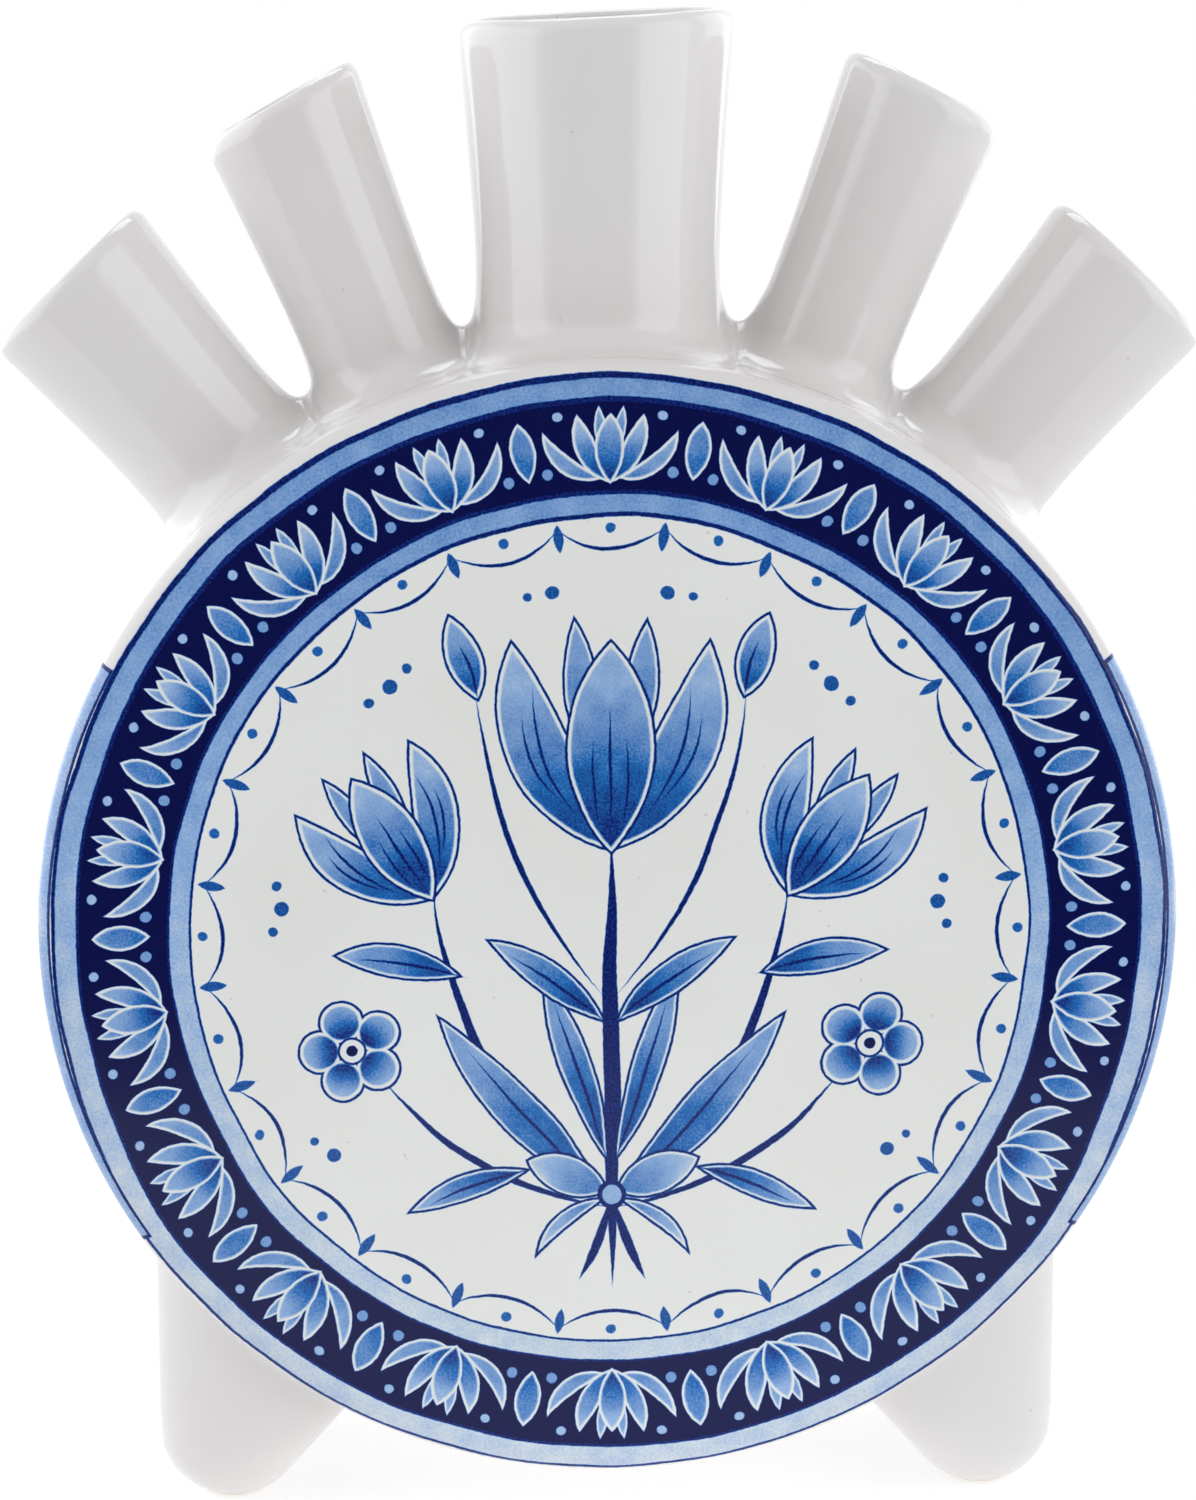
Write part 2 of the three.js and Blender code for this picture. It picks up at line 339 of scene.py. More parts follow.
def fillet_width(spout, around):
    """How far a spout's skirt runs out over the drum: a full fillet, or half-way to a closer neighbour."""
    others = [other for other in spouts if other is not spout]
    widest = np.full_like(around, fillet_radius + skirt_rim)

    def has_room(width):
        radius = spout.waist + width
        points = spout.point(radius, around, seat_height(radius, around))
        return np.min([other.distance(points) for other in others], axis=0) > width

    half_way = halve(np.zeros_like(around), widest, has_room)
    return np.where(has_room(widest), widest, half_way)


print("fillets of", fillet_radius, "mm, webs of", web_radii, "mm")

# %% [markdown]
# ## Turn each spout into a skin
#
# The rings of a spout start at the end of its skirt on the drum, climb the fillet and the tube, turn over
# the lip and run down the bore. The lip's outer corner is rounder than its inner one, because a wet
# sponge is drawn round the outside. The last ring lies a hair under the drum's surface, so the loop
# closes inside the clay. The first one is tucked under by a hundredth of a millimetre, because two skins
# in exactly the same place flicker. The skirt takes its normals from the rounded union too, so no line
# shows in the gloss where one skin dives under the next.

# %% Build the five spouts
WIDE_SEGMENTS, NARROW_SEGMENTS = 144, 112
SKIRT_RINGS, TUBE_RINGS, BORE_RINGS = 24, 26, 14
OUTER_LIP_RINGS, INNER_LIP_RINGS = 9, 7


def spout_skin(spout):
    around = angles(WIDE_SEGMENTS if spout.name == "centre" else NARROW_SEGMENTS)
    fillet_top = 12.0
    outer_corner = 1.9
    inner_corner = lip_thickness - outer_corner
    corner_drop = 2.6
    width = fillet_width(spout, around)
    tube_foot = seat_height(spout.waist, around)
    tube_top = spout.top(spout.mouth, around) - corner_drop
    skirt = []
    for t in np.linspace(0, 1, SKIRT_RINGS):
        radius = spout.waist + width * (1 - t) ** 2
        skirt.append(spout.point(radius, around, seat_height(radius, around) + fillet_top * t**2))
    skirt = onto_joint(np.array(skirt))
    inwards = (drum_centre - skirt[0]) * (1, 0, 1)
    skirt[0] += tuck * inwards / np.linalg.norm(inwards, axis=1)[:, None]
    skirt[-1] = spout.point(spout.waist, around, tube_foot + fillet_top)
    rings = list(skirt)
    first_share = fillet_top / (tube_top - tube_foot)
    for t in np.linspace(0, 1, TUBE_RINGS)[1:]:
        share = mix(first_share, 1, t)
        rings.append(spout.point(spout.outside(share), around, mix(tube_foot, tube_top, share)))
    for turn in np.linspace(0, math.pi / 2, OUTER_LIP_RINGS)[1:]:
        radius = spout.mouth - outer_corner * (1 - math.cos(turn))
        drop = corner_drop * (1 - math.sin(turn))
        rings.append(spout.point(radius, around, spout.top(radius, around) - drop))
    for turn in np.linspace(0, math.pi / 2, INNER_LIP_RINGS)[1:]:
        radius = spout.mouth - outer_corner - inner_corner * math.sin(turn)
        drop = inner_corner * (1 - math.cos(turn))
        rings.append(spout.point(radius, around, spout.top(radius, around) - drop))
    bore_top = spout.top(spout.mouth - lip_thickness, around) - inner_corner
    bore_foot = seat_height(spout.bore, around, drum_radius - sunk)
    for share in np.linspace(1, 0, BORE_RINGS)[1:]:
        rings.append(spout.point(spout.inside(share), around, mix(bore_foot, bore_top, share)))
    under = spout.waist + width
    rings.append(spout.point(under, around, seat_height(under, around, drum_radius - sunk)))
    piece = mesh_object(f"spout_{spout.name}_glazed", *sew(rings, is_loop=True))
    shade_as_joint(piece.data, skirt[:-1].reshape(-1, 3))
    return piece


def shade_as_joint(mesh, first_points):
    """Gives the first points the normals of the joint. A zero lets the others keep their own."""
    slopes = slope_of(joined_distance, first_points)
    normals = np.zeros((len(mesh.vertices), 3))
    normals[:len(slopes)] = slopes / np.linalg.norm(slopes, axis=1)[:, None]
    mesh.normals_split_custom_set_from_vertices([tuple(normal) for normal in normals])


spout_pieces = {}
for spout in spouts:
    piece = spout_skin(spout)
    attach(piece, "root")
    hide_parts(f"spout_{spout.name}", f"spout_coil_{spout.name}")
    spout_pieces[spout.name] = piece
    print(piece.name, len(piece.data.polygons), "faces")

# %% [markdown]
# ## The feet
#
# Each foot is a blunt round cone, upright on its outer side and widening towards the drum on its inner
# side. Its tip is rubbed flat where it stands. The same kind of fillet runs it into the wall.

# %% Build the four feet
FOOT_SEGMENTS = 96
TIP_RINGS, LEG_RINGS, COIL_RINGS = 18, 8, 12
foot_spread = drum_radius * math.sin(foot_bearing)
foot_half_depth = (face_y - plate_rounding - foot_inset - foot_pair_gap / 2) / 2
foot_stagger = foot_pair_gap / 2 + foot_half_depth
foot_pad_angle = math.asin(foot_pad / foot_tip)
foot_pad_drop = foot_tip * (1 - math.cos(foot_pad_angle))


def foot_point(side, end, around, height, clearance):
    """Points round a foot at a height over the table, a clearance outside its surface."""
    over_tip = height - (foot_tip - foot_pad_drop)
    tip_radius = np.sqrt(np.maximum(0, foot_tip**2 - np.minimum(0, over_tip) ** 2))
    over_tangent = over_tip + foot_tip * math.sin(foot_slope)
    sloped = foot_tip * math.cos(foot_slope) + over_tangent * math.tan(foot_slope)
    inner = np.where(over_tangent > 0, sloped, tip_radius)
    half_width = (tip_radius + inner) / 2 + clearance
    half_depth = tip_radius * foot_half_depth / foot_tip + clearance
    middle = foot_spread + (tip_radius - inner) / 2
    x = side * (middle + half_width * np.cos(around))
    y = end * foot_stagger + half_depth * np.sin(around)
    return np.stack(np.broadcast_arrays(x, y, height), axis=-1).astype(float)


def under_wall(side, end, around, clearance, over=drum_radius):
    """Height at which the line up a foot's side meets the drum."""

    def is_below(height):
        return drum_distance(foot_point(side, end, around, height, clearance)) > over - drum_radius

    return halve(np.zeros_like(around), np.full_like(around, drum_centre[2]), is_below)


def foot_skin(name, side, end):
    around = angles(FOOT_SEGMENTS)
    tip_turn = math.radians(75)
    tip_turns = np.linspace(foot_pad_angle, tip_turn, TIP_RINGS)

    def ring(height, clearance=0):
        return foot_point(side, end, around, height, clearance)

    def on_tip(turn):
        return foot_tip * (1 - math.cos(turn)) - foot_pad_drop

    rings = [ring(np.full_like(around, on_tip(turn))) for turn in tip_turns]
    leg_top = under_wall(side, end, around, 0) - foot_fillet
    for share in np.linspace(0, 1, LEG_RINGS)[1:]:
        rings.append(ring(mix(on_tip(tip_turn), leg_top, share)))
    for t in np.linspace(0, 1, COIL_RINGS)[1:]:
        clearance = foot_fillet * t**2
        drop = foot_fillet * (1 - t) ** 2
        rings.append(ring(under_wall(side, end, around, clearance) - drop, clearance))
    rim = ring(under_wall(side, end, around, foot_fillet, drum_radius - sunk), foot_fillet)
    rings.append(rim)
    middle = rim.mean(axis=0)
    for share in (0.66, 0.33):
        inner = mix(middle, rim, share)
        inner[:, 2] = drum_centre[2] - np.sqrt((drum_radius - sunk) ** 2 - inner[:, 0] ** 2)
        rings.append(inner)
    return mesh_object(f"foot_{name}_glazed", *sew(rings, is_loop=False))


feet = (("front_left", -1, -1), ("front_right", 1, -1), ("back_left", -1, 1), ("back_right", 1, 1))
foot_pieces = []
for name, side, end in feet:
    piece = foot_skin(name, side, end)
    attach(piece, "root")
    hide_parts(f"foot_{name}", f"foot_coil_{name}")
    foot_pieces.append(piece)
    print(piece.name, len(piece.data.polygons), "faces")

# %% [markdown]
# ## The drum
#
# Two round plates close a ring. The plates are turned profiles: flat across the face, rolled over a 3 mm
# edge, then a short stretch of side down to the seam, where the ring takes over on the same circle, so no
# line shows in the glaze. The ring's ends reach a hair under the plates, so no light slips through. A
# boolean cuts a stem hole under every spout, as a potter's hole cutter does.

# %% Build the plates and the side wall
DRUM_SEGMENTS = 288
HOLE_SEGMENTS = 64
EDGE_RINGS = 11


def turned(profile):
    """Rings about the drum's axis from (radius, y) pairs."""
    around = angles(DRUM_SEGMENTS)
    circle = np.stack([np.sin(around), np.zeros_like(around), np.cos(around)], axis=-1)
    return [drum_centre + radius * circle + y * DEEP for radius, y in profile]


def plate_skin(name, side):
    outer = [(2.0, face_y)]
    outer += [(radius, face_y) for radius in (15.0, 35.0, 55.0, 72.0, 82.0)]
    for turn in np.linspace(0, math.pi / 2, EDGE_RINGS):
        radius = drum_radius - plate_rounding * (1 - math.sin(turn))
        outer.append((radius, face_y - plate_rounding * (1 - math.cos(turn))))
    outer.append((drum_radius, seam_y))
    inner = [(radius, seam_y) for radius in (60.0, 2.0)]
    rings = turned([(radius, side * y) for radius, y in outer + inner])
    piece = mesh_object(name, *sew(rings, is_loop=False))
    lay_out_plate(piece.data, len(outer), len(rings))
    return piece


def lay_out_plate(mesh, outer_rings, all_rings):
    """Unrolls a plate's painted side into a full disc, and its hidden side into a small one in a corner."""
    full_middle, full_reach = 0.5, 0.495
    small_middle, small_reach = 0.075, 0.07
    mm = np.array([v.co for v in mesh.vertices]) / MM - drum_centre
    depth = np.abs(mm[:, 1])
    radius = np.hypot(mm[:, 0], mm[:, 2])
    edge_turn = np.arccos(np.clip(1 - (face_y - depth) / plate_rounding, 0, 1))
    flat = np.minimum(radius, drum_radius - plate_rounding)
    down_side = np.maximum(0, face_y - plate_rounding - depth)
    reach = flat + plate_rounding * edge_turn + down_side
    direction = mm[:, [0, 2]] / np.maximum(radius, 1e-6)[:, None]
    disc = full_middle + full_reach * direction * (reach / reach.max())[:, None]
    corner = small_middle + small_reach * direction * (radius / drum_radius)[:, None]
    outer_faces = (outer_rings - 1) * DRUM_SEGMENTS
    band_faces = (all_rings - 1) * DRUM_SEGMENTS
    last_point = len(mesh.vertices) - 1
    chart = mesh.uv_layers.new(name="OFBake")
    for face in mesh.polygons:
        is_hidden = outer_faces <= face.index < band_faces or last_point in face.vertices
        for corner_index, vertex in zip(face.loop_indices, face.vertices):
            chart.data[corner_index].uv = corner[vertex] if is_hidden else disc[vertex]


front_plate = plate_skin("front_plate_painted", -1)
back_plate = plate_skin("back_plate_painted", 1)


def cut_with(piece, cutter):
    """Cuts one closed mesh out of another and removes the cutter."""
    cut = piece.modifiers.new("cut", "BOOLEAN")
    cut.operation = "DIFFERENCE"
    cut.solver = "EXACT"
    cut.object = cutter
    shown = bpy.context.evaluated_depsgraph_get()
    mesh = bpy.data.meshes.new_from_object(piece.evaluated_get(shown))
    piece.modifiers.clear()
    piece.data = mesh
    bpy.data.objects.remove(cutter)


under_plate = seam_y + 0.3
next_ring = 20.0
cutter_ends = (drum_radius - 30, drum_radius + 10)
half_ring = [
    (drum_radius - wall_thickness, seam_y),
    (drum_radius - tuck, under_plate),
    (drum_radius, seam_y),
    (drum_radius, next_ring),
]
ring = half_ring + [(radius, -y) for radius, y in reversed(half_ring)]
side_wall = mesh_object("side_wall_painted", *sew(turned(ring), is_loop=True))
for spout in spouts:
    around = angles(HOLE_SEGMENTS)
    ends = [spout.point(spout.bore, around, height) for height in cutter_ends]
    cut_with(side_wall, mesh_object("hole_cutter", *sew(ends, is_loop=False)))
side_wall.data.shade_smooth()
side_wall.data.set_sharp_from_angle(angle=SHARP)

for piece, node, slot in (
    (front_plate, "front_plate", "painted_glaze"),
    (back_plate, "back_plate", "painted_glaze"),
    (side_wall, "side_wall", "white_glaze"),
):
    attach(piece, "root")
    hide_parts(node)
    print(piece.name, len(piece.data.polygons), "faces")

# %% [markdown]
# ## Shader maths written as Python
#
# The painting is drawn with numbers: how far is this spot from the edge of a petal? One small class wraps
# an output socket and turns the operators of Python into Math nodes, and one method of the bench adds any
# other node.

# %% A socket that can do sums


class Wire:
    """An output socket. Sums on numbers add Math nodes, and sums on vectors add Vector Math nodes."""

    def __init__(self, bench, socket):
        self.bench = bench
        self.socket = socket

    def __add__(self, other):
        return self.bench.sum("ADD", self, other)

    def __radd__(self, other):
        return self.bench.sum("ADD", other, self)

    def __sub__(self, other):
        return self.bench.sum("SUBTRACT", self, other)

    def __rsub__(self, other):
        return self.bench.sum("SUBTRACT", other, self)

    def __mul__(self, other):
        return self.bench.sum("MULTIPLY", self, other)

    def __rmul__(self, other):
        return self.bench.sum("MULTIPLY", other, self)

    def __truediv__(self, other):
        return self.bench.sum("DIVIDE", self, other)

    def __rtruediv__(self, other):
        return self.bench.sum("DIVIDE", other, self)

    def __abs__(self):
        return self.bench.sum("ABSOLUTE", self)

    def least(self, other):
        return self.bench.sum("MINIMUM", self, other)

    def most(self, other):
        return self.bench.sum("MAXIMUM", self, other)


class Bench:
    """The node tree of one finish."""

    def __init__(self, tree):
        self.tree = tree
        self.tree.nodes.clear()

    def node(self, kind, sockets=None, out=0, **settings):
        """Adds a node: its settings first, then the values or links of its sockets. Returns one output."""
        made = self.tree.nodes.new(kind)
        for key, value in settings.items():
            if key == "stops":
                self.set_stops(made.color_ramp, value)
            else:
                setattr(made, key, value)
        for key, value in (sockets or {}).items():
            if isinstance(value, Wire):
                self.tree.links.new(value.socket, made.inputs[key])
            else:
                made.inputs[key].default_value = value
        return Wire(self, made.outputs[out]) if made.outputs else made

    def sum(self, operation, *values):
        """A Math node, or a Vector Math node where a value is a vector or a colour."""
        is_vector = any(isinstance(v, Wire) and v.socket.type in ("VECTOR", "RGBA") for v in values)
        kind = "ShaderNodeVectorMath" if is_vector else "ShaderNodeMath"
        return self.node(kind, dict(enumerate(values)), operation=operation)

    def measure(self, operation, *vectors):
        """One number from vectors: a length, a distance or a dot product."""
        return self.node("ShaderNodeVectorMath", dict(enumerate(vectors)), "Value", operation=operation)

    def here(self):
        """The place on the piece, in metres."""
        return self.node("ShaderNodeTexCoord", out="Object")

    def split(self, vector):
        """The X, Y and Z of a vector."""
        x = self.node("ShaderNodeSeparateXYZ", {0: vector})
        return [Wire(self, output) for output in x.socket.node.outputs]

    def join(self, x, y, z):
        return self.node("ShaderNodeCombineXYZ", {0: x, 1: y, 2: z})

    def set_stops(self, ramp, stops):
        while len(ramp.elements) < len(stops):
            ramp.elements.new(0.5)
        for element, (position, colour) in zip(ramp.elements, stops):
            element.position = position
            element.color = (*colour, 1.0)

    def fade(self, value, start, end, first=0.0, last=1.0):
        """Eases from first to last while value runs from start to end."""
        sockets = {"Value": value, "From Min": start, "From Max": end, "To Min": first, "To Max": last}
        return self.node("ShaderNodeMapRange", sockets, interpolation_type="SMOOTHSTEP")

    def blend(self, share, a, b):
        """Mixes two numbers."""
        return self.node("ShaderNodeMix", {0: share, 2: a, 3: b}, data_type="FLOAT")

    def blend_colour(self, share, a, b):
        return self.node("ShaderNodeMix", {0: share, 6: a, 7: b}, out=2, data_type="RGBA")

    def noise(self, place, scale, detail=2.0, out=0):
        return self.node("ShaderNodeTexNoise", {"Vector": place, "Scale": scale, "Detail": detail}, out)


def new_finish(name):
    """A new material and the bench for its nodes."""
    material = bpy.data.materials.new(name)
    material.use_nodes = True
    return material, Bench(material.node_tree)


print("wires and benches are ready")

# %% [markdown]
# ## The clear glaze
#
# Tin glaze is hard and glossy, but never quite flat: it rolls a little, as thick paint does. Two faint
# noises feed a bump: a slow roll, and a finer skin like that of an orange. The white itself is cloudy, a
# trace warmer where the glaze lies thin. The two painted faces are given a lighter white than the rest.

# %% White glaze
GLAZE_ROUGHNESS = 0.09
GLAZE_SPECULAR = 0.42
PAINTED_SPECULAR = 0.25


def glaze_bump(bench, place):
    roll = bench.noise(place, 38.0, 1.0)
    skin = bench.noise(place, 420.0, 1.0)
    height = roll + skin * 0.012
    return bench.node("ShaderNodeBump", {"Strength": 1.0, "Distance": 0.00022, "Height": height})


def cloudy_white(bench, place, whiter_share=0.0):
    """White that changes with the glaze's thickness, with a few pin-prick specks from the kiln."""
    cloud = bench.fade(bench.noise(place, 22.0, 3.0), 0.35, 0.65)
    body_white = bench.blend_colour(cloud, (0.70, 0.677, 0.670, 1), (0.72, 0.702, 0.697, 1))
    face_white = bench.blend_colour(cloud, (0.755, 0.761, 0.740, 1), (0.778, 0.786, 0.769, 1))
    # The painted faces take a lighter white than the spouts, feet and wall.
    white = bench.blend_colour(whiter_share, body_white, face_white)
    speck = bench.fade(bench.noise(place, 1050.0, 0.0), 0.87, 0.92, 0.0, 0.30)
    return bench.blend_colour(speck, white, (0.30, 0.22, 0.16, 1))


def finish_with_gloss(bench, colour, place, roughness=GLAZE_ROUGHNESS, specular=GLAZE_SPECULAR):
    roughness = roughness + bench.fade(bench.noise(place, 25.0), 0.3, 0.7, -0.02, 0.03)
    sockets = {
        "Base Color": colour,
        "Roughness": roughness,
        "IOR": 1.5,
        "Specular IOR Level": specular,
        "Normal": glaze_bump(bench, place),
    }
    surface = bench.node("ShaderNodeBsdfPrincipled", sockets)
    bench.node("ShaderNodeOutputMaterial", {"Surface": surface})


white_glaze, bench = new_finish("white_glaze")
place = bench.here()
finish_with_gloss(bench, cloudy_white(bench, place), place)
for piece in spout_pieces.values():
    piece.data.materials.append(white_glaze)
print("white glaze on", len(spout_pieces), "spouts")

# %% [markdown]
# Glaze would glue a foot to the kiln shelf, so the potter wipes it off where the foot stands. That ring
# of bare clay is buff and quite dull, with a wavering edge.

# %% Glazed feet with bare pads
foot_glaze, bench = new_finish("foot_glaze")
place = bench.here()
height = bench.split(place)[2] + (bench.noise(place, 240.0) - 0.5) * 0.0007
bare = bench.fade(height, 0.0003, 0.0006, 1.0, 0.0)
clay = bench.blend_colour(bench.noise(place, 900.0), (0.55, 0.44, 0.32, 1), (0.66, 0.56, 0.43, 1))
colour = bench.blend_colour(bare, cloudy_white(bench, place), clay)
finish_with_gloss(bench, colour, place, bench.blend(bare, GLAZE_ROUGHNESS, 0.85))
for piece in foot_pieces:
    piece.data.materials.append(foot_glaze)
print("bare clay pads under", len(foot_pieces), "feet")

# %% [markdown]
# ## Petals, leaves and strokes from two arcs
#
# A loaded brush leaves marks that start at a point, swell and end at a point: a petal, a leaf, a vein.
# All of them lie between two arcs that share their ends, so one shape draws the whole painting. Each side
# bulges by its own amount, and a negative bulge makes a curved stroke. The drawing keeps a single number,
# the density of the ink, from 0 for bare white to 1 for the deepest blue, because cobalt is one pigment
# that only gets thicker. Colour comes last.

# %% A drawing made of ink
PALE = 0.33
MID = 0.63
LINE = 0.93
DEEPEST = 1.12


class Drawing:
    """Layers of ink on a flat place in millimetres."""

    def __init__(self, bench, place):
        self.bench = bench
        self.place = place
        self.ink = 0.0
        self.cloud = bench.noise(place, 0.22, 3.0)
        self.mottle = (self.cloud - 0.5) * 0.26 + (bench.noise(place, 2.2, 3.0) - 0.5) * 0.26

    def from_point(self, x, y):
        return self.bench.measure("DISTANCE", self.place, (x, y, 0))

    def arc_side(self, a, b, bulge):
        """Distance outside the arc that bulges this far to the left of the way from a to b."""
        length = math.dist(a, b)
        left = ((a[1] - b[1]) / length, (b[0] - a[0]) / length)
        radius = (length**2 / 4 + bulge**2) / (2 * abs(bulge))
        back = math.copysign(radius - abs(bulge), bulge)
        x = (a[0] + b[0]) / 2 - left[0] * back
        y = (a[1] + b[1]) / 2 - left[1] * back
        away = self.from_point(x, y)
        return away - radius if bulge > 0 else radius - away

    def lens(self, a, b, left, right):
        """Distance outside the shape between two arcs from a to b."""
        return self.arc_side(a, b, left).most(self.arc_side(b, a, right))

    def lay(self, distance, density, soft=0.13, inset=0.0):
        """Covers what lies further inside the shape than the inset."""
        cover = self.bench.fade(distance, -inset - soft, -inset + soft, 1.0, 0.0)
        self.ink = self.bench.blend(cover, self.ink, density)

    def stroke(self, a, b, sag, width, density=LINE):
        self.lay(self.lens(a, b, sag + width / 2, width / 2 - sag), density)

    def dot(self, x, y, radius, density=LINE):
        self.lay(self.from_point(x, y) - radius, density)

    def along(self, a, b, first, last):
        """A wash that changes from a to b, clouded like watercolour."""
        length = math.dist(a, b)
        way = ((b[0] - a[0]) / length, (b[1] - a[1]) / length, 0)
        share = self.bench.measure("DOT_PRODUCT", self.place, way)
        start = a[0] * way[0] + a[1] * way[1]
        wash = self.bench.fade(share, start, start + length, first, last)
        return wash + (self.cloud - 0.5) * 0.34

    def petal(self, a, b, left, right, first, last, line=0.42, rim=0.5):
        """An outlined petal with a white rim. On a dark ground the line is left out."""
        shape = self.lens(a, b, left, right)
        if line:
            self.lay(shape, LINE)
        self.lay(shape, 0.02, inset=line)
        self.lay(shape, self.along(a, b, first, last), soft=0.26, inset=line + rim)

    def tulip(self, base, lean, height, line=0.42, rim=0.5, is_mirrored=False):
        """Three petals with two tips behind them. On the mirror line only the right half is drawn."""
        up = (math.sin(lean), math.cos(lean))
        right = (up[1], -up[0])

        def spot(u, v):
            return tuple(base[i] + height * (u * right[i] + v * up[i]) for i in (0, 1))

        sides = (1,) if is_mirrored else (1, -1)
        for side in sides:
            self.petal(spot(side * 0.10, 0.4), spot(side * 0.16, 1.03), 0.08 * height, 0.08 * height,
                       MID, 0.40, line, rim * 0.7)
        for side in sides:
            inner, outer = 0.05 * height, 0.25 * height
            left, right_bulge = (inner, outer) if side > 0 else (outer, inner)
            self.petal(spot(side * 0.01, 0), spot(side * 0.43, 0.94), left, right_bulge,
                       0.80, 0.30, line, rim)
            if line:
                self.stroke(spot(side * 0.16, 0.16), spot(side * 0.34, 0.70), -side * 0.05 * height, 0.45)
                self.stroke(spot(side * 0.22, 0.22), spot(side * 0.39, 0.58), -side * 0.04 * height, 0.4)
        self.petal(spot(0, -0.02), spot(0, 0.93), 0.2 * height, 0.2 * height, 0.86, 0.30, line, rim)
        if line:
            self.stroke(spot(0, 0.10), spot(0, 0.62), 0.0, 0.5)
            for side in sides:
                self.stroke(spot(side * 0.055, 0.12), spot(side * 0.075, 0.48), -side * 0.012 * height, 0.4)


print("ink densities:", PALE, MID, LINE, DEEPEST)

# %% [markdown]
# ## The bouquet in the middle
#
# Old blue and white vases often carry a bunch of flowers tied with a bow. Painting only the right half
# and reading the drawing at the distance from the middle line gives both halves. The wobble of the hand
# is added before the mirror, so the two sides still differ a little.

# %% Paint the bouquet


def paint_bouquet(page):
    page.stroke((1.5, -10), (21, 38), -4.0, 0.9)
    page.petal((20.6, 37), (25, 51), 3.2, 3.0, 0.78, 0.34)
    page.stroke((20.8, 37.6), (23.2, 46), 0.4, 0.45)
    page.stroke((0.8, -45), (36, -24), -4.0, 1.2)
    page.stroke((0.6, -44), (28, 7), -6.0, 1.5)
    page.lay(page.lens((0, -58), (0, 15), 1.4, 1.4), LINE)
    page.stroke((0.4, -44), (5.2, -57), -0.5, 1.5)

    for a, b, left, right in (
        ((0.5, -44), (28, -13), 3.0, 4.6),
        ((0.4, -38), (11, -5), 2.6, 3.0),
        ((0.6, -15), (20, -1), 3.6, 2.0),
        ((23.5, -7), (44, -3.5), 3.6, 2.2),
        ((13, -38.5), (33, -46), 3.0, 1.8),
    ):
        page.petal(a, b, left, right, 0.82, 0.36, rim=0.3)
        tip = (a[0] + (b[0] - a[0]) * 0.78, a[1] + (b[1] - a[1]) * 0.78)
        page.stroke(a, tip, (left - right) * 0.35, 0.5)

    page.tulip((28, 5.5), math.radians(33), 25)
    page.tulip((0, 13), 0.0, 36, is_mirrored=True)

    middle = (41, -19)
    ring = page.from_point(middle[0] + 5, middle[1])
    for turn in (72, 144, 216, 288):
        x = middle[0] + 5 * math.cos(math.radians(turn))
        y = middle[1] + 5 * math.sin(math.radians(turn))
        ring = ring.least(page.from_point(x, y))
    blossom = ring - 3.7
    page.lay(blossom, LINE)
    page.lay(blossom, 0.02, inset=0.42)
    from_middle = page.from_point(*middle)
    wash = page.bench.fade(from_middle, 2.0, 8.0, 0.86, 0.36) + (page.cloud - 0.5) * 0.3
    page.lay(blossom, wash, 0.26, 0.95)
    page.lay(from_middle - 2.3, LINE)
    page.lay(from_middle - 1.9, 0.02)
    page.lay(from_middle - 0.9, DEEPEST)

    page.petal((0.5, -42.5), (14, -37), 3.6, 3.4, 0.62, 0.22, rim=0.3)
    page.petal((0.5, -43.5), (12.5, -53.5), 3.4, -0.4, 0.62, 0.24, rim=0.3)
    page.dot(0, -43, 2.4)
    page.dot(0, -43, 1.6, PALE)

    for x, y, radius in (
        (34.5, 39.5, 1.2), (37.6, 36.8, 0.8), (31.8, 42.4, 0.8), (51.5, 4.5, 1.2), (53, 0.8, 0.8),
        (52.4, 8.3, 0.8), (9, 54, 1.1), (12.8, 53.4, 0.7), (44, -36, 1.1), (47, -33.6, 0.7),
    ):
        page.dot(x, y, radius, 0.75)


print("bouquet: 3 tulips, 2 blossoms, 2 buds, 10 leaves and a bow")

# %% [markdown]
# ## The borders
#
# Round the bouquet runs a chain of small swags, then a pale ring, a deep blue border with eighteen small
# tulips left white at their edges, and the pale stripe at the rim of the plate. Borders repeat round the
# circle, so the drawing is read in a wedge: the angle is wrapped to one repeat, mirrored, and turned back
# into millimetres along the ring. On the lower half all rings sit a millimetre further out, where they
# run onto the plate's rounded edge, and the pale stripes get thinner and lighter cobalt there than at the
# top.

# %% Paint the borders
RIM_OUTER = 87.8
RIM_INNER = 83.8
BORDER_INNER = 69.6
BORDER_MIDDLE = (BORDER_INNER + RIM_INNER) / 2
FIELD = 66.2
SWAG_RADIUS = 64.6
BORDER_REPEATS = 18
SWAG_REPEATS = 24


def wedge(bench, angle, radius, repeats, middle_radius):
    """Place within one repeat: millimetres along the ring from the repeat's middle, and radius."""
    half = math.pi / repeats
    wrapped = bench.sum("WRAP", angle, half, -half)
    return bench.join(abs(wrapped) * middle_radius, radius, 0.0)


def paint_swags(page):
    step = SWAG_RADIUS * math.pi / SWAG_REPEATS
    page.stroke((-step, SWAG_RADIUS), (step, SWAG_RADIUS), -3.6, 0.6)
    page.stroke((step, 61.0), (step, 65.4), 0.0, 1.6, 0.75)
    page.dot(0, 64.2, 0.8, 0.7)


def paint_border(page):
    page.petal((1.0, 71.8), (10.0, 79.6), -0.9, 3.6, 0.55, 0.40, 0.0, 0.42)
    page.tulip((0, 71.0), 0.0, 11.4, 0.0, 0.42, is_mirrored=True)
    step = BORDER_MIDDLE * math.pi / BORDER_REPEATS
    page.petal((step, 72.2), (step, 81.6), 2.0, 2.0, 0.66, 0.5, 0.0, 0.42)
    page.dot(10.1, 73.0, 0.9, 0.45)
    page.dot(7.6, 81.6, 0.75, 0.3)


